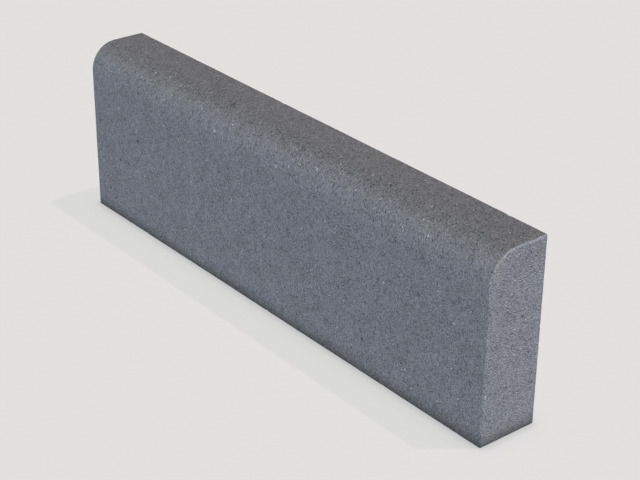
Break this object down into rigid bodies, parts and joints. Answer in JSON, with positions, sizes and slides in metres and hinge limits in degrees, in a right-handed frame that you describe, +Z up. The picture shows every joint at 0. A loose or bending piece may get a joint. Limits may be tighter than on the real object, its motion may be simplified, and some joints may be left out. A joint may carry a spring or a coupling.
{
  "type": "concrete kerb stone",
  "caption": "Straight precast concrete kerb: a tall narrow block with a bull nose along its road-side top edge, square back and bed, and lightly rounded arrises.",
  "frame": {"origin": "middle of the bed, the flat face the kerb stands on", "axes": "+X along the kerb, from end face to end face; -Y towards the road, the side with the bull nose; +Z up"},
  "size_m": [1, 0.105, 0.305],
  "materials": {
    "concrete": "matte"
  },
  "bodies": {
    "root": {"kerb_stone": "concrete"}
  },
  "joints": []
}
